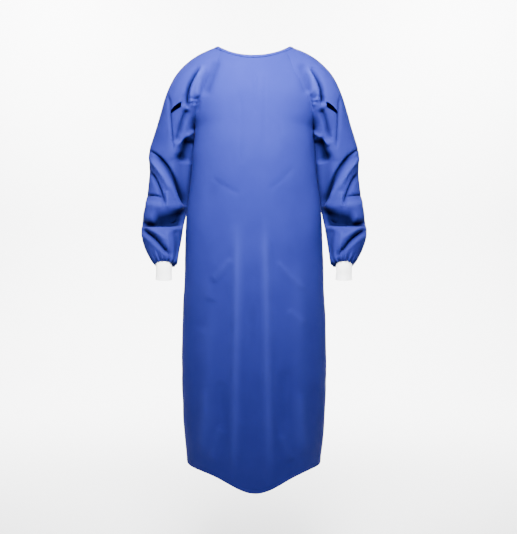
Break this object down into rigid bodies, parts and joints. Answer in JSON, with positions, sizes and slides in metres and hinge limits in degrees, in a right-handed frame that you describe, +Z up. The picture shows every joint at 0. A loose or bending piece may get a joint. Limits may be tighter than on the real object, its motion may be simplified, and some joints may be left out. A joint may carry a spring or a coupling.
{
  "type": "surgical gown",
  "caption": "Long surgical gown with raglan sleeves, knitted cuffs, bound round neck and curved hem, hollow as worn, lapped and tied at the back.",
  "frame": {"origin": "midway between the two points where the neckline crosses the shoulders, where the gown hangs from its wearer", "axes": "+Z up, the gown's front faces -Y, the wearer's left is at +X"},
  "size_m": [0.6322, 0.3342, 1.2069],
  "materials": {
    "blue_cloth": "soft nonwoven cloth, low sheen",
    "blue_trim": "folded band and ties of the same cloth",
    "white_knit": "matt rib knit"
  },
  "bodies": {
    "root": {"front_panel": "blue_cloth", "back_panel_left": "blue_cloth", "back_panel_right": "blue_cloth", "sleeve_front_left": "blue_cloth", "sleeve_front_right": "blue_cloth", "sleeve_back_left": "blue_cloth", "sleeve_back_right": "blue_cloth", "neck_binding": "blue_trim", "neck_tab": "blue_trim", "waist_tie_left": "blue_trim", "waist_tie_right": "blue_trim", "waist_knot": "blue_trim", "tie_end_left": "blue_trim", "tie_end_right": "blue_trim", "cuff_left": "white_knit", "cuff_right": "white_knit"}
  },
  "joints": []
}
